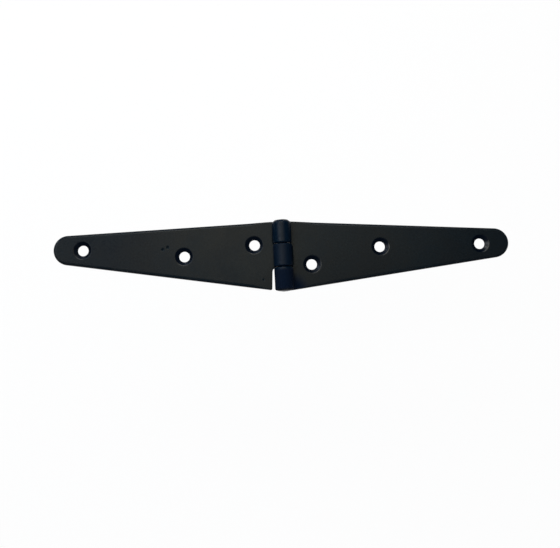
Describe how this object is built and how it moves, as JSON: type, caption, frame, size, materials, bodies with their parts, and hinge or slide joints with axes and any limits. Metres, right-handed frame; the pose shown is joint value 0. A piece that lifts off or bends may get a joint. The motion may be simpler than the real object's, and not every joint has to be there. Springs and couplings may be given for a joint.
{
  "type": "strap hinge",
  "caption": "Black coated strap hinge: long tapered straps with round tips and countersunk screw holes swing about a rolled barrel on a peened pin.",
  "frame": {"origin": "on the plane of the straps' backs, under the middle of the pin", "axes": "+X along the right strap towards its tip, +Y along the pin, +Z out of the straps' fronts, the side the barrel stands on"},
  "size_m": [0.2029, 0.032, 0.0084],
  "materials": {
    "black_coating": "satin black coating over mild steel"
  },
  "bodies": {
    "right_leaf": {"right_leaf": "black_coating", "hinge_pin": "black_coating"},
    "left_leaf": {"left_leaf": "black_coating"}
  },
  "joints": [
    {"name": "leaf_swing", "type": "hinge", "parent": "right_leaf", "child": "left_leaf", "pos_m": [0, 0, 0.0042], "axis": [0, 1, 0], "range_deg": [-70, 180]}
  ]
}
